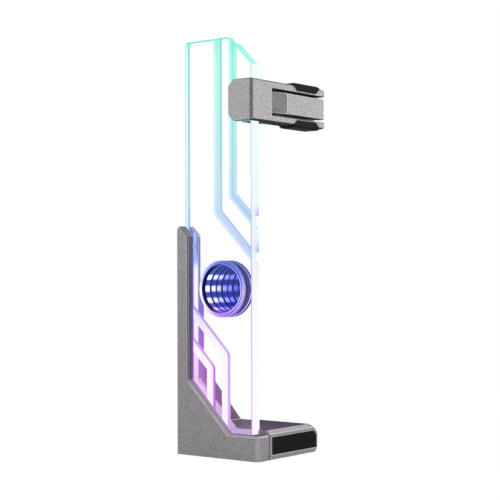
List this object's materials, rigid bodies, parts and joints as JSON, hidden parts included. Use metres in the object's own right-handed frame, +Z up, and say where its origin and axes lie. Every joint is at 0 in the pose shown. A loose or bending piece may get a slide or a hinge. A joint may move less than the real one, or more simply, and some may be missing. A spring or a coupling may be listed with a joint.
{
  "type": "graphics card support bracket",
  "caption": "Upright support stand for a graphics card: metal base and column, clear light panel with a ring light, and a sliding clamp arm.",
  "frame": {"origin": "centre of the base's rubber pad on the floor", "axes": "+Z up, +X along the light panel towards its front edge, +Y to the far side, where the support arm reaches out"},
  "size_m": [0.072, 0.0874, 0.2908],
  "materials": {
    "grey_paint": "fine speckled metallic grey paint",
    "black_plastic": "matt",
    "black_rubber": "matt rubber",
    "clear_panel": "clear polished acrylic",
    "bright_steel": "plain",
    "mirror": "polished",
    "milky_plastic": "milky light guide",
    "dark_aluminium": "satin anodised",
    "board": "circuit board"
  },
  "bodies": {
    "stand": {"front_housing": "grey_paint", "side_foot": "grey_paint", "bottom_plate": "black_plastic", "base_pad": "black_rubber", "end_pad": "black_rubber", "light_panel": "clear_panel", "column_light_strip": "board", "base_light_strip": "board", "control_board": "board", "light_socket": "black_plastic", "ring_front_bezel": "dark_aluminium", "ring_half_mirror": "mirror", "ring_light_guide": "milky_plastic", "ring_back_mirror": "mirror", "ring_light_board": "board", "ring_rear_cap": "dark_aluminium", "plate_screw_1": "bright_steel", "plate_screw_2": "bright_steel", "plate_screw_3": "bright_steel", "plate_screw_4": "bright_steel", "wall_screw_1": "bright_steel", "wall_screw_2": "bright_steel", "board_screw_1": "bright_steel", "board_screw_2": "bright_steel"},
    "arm": {"support_arm": "grey_paint", "jaw_liner": "black_rubber", "arm_top_cover": "black_rubber", "arm_bottom_cover": "black_rubber", "lever_pin": "bright_steel", "lever_washer_low": "black_plastic", "lever_washer_high": "black_plastic"},
    "lever": {"lever": "grey_paint"},
    "shoe": {"clamp_shoe": "black_plastic", "clamp_shoe_pad": "black_rubber"}
  },
  "joints": [
    {"name": "arm_height", "type": "slide", "parent": "stand", "child": "arm", "axis": [0, 0, 1], "range_m": [-0.092, 0.009]},
    {"name": "lever_swing", "type": "hinge", "parent": "arm", "child": "lever", "pos_m": [0.0256, -0.0046, 0.2463], "axis": [0, 0, -1], "range_deg": [0, 90]},
    {"name": "shoe_slide", "type": "slide", "parent": "arm", "child": "shoe", "axis": [0, 1, 0], "range_m": [0, 0.0005]}
  ],
  "couplings": [
    {"joint": "shoe_slide", "follows": "lever_swing", "m_per_rad": 0.00025465}
  ]
}
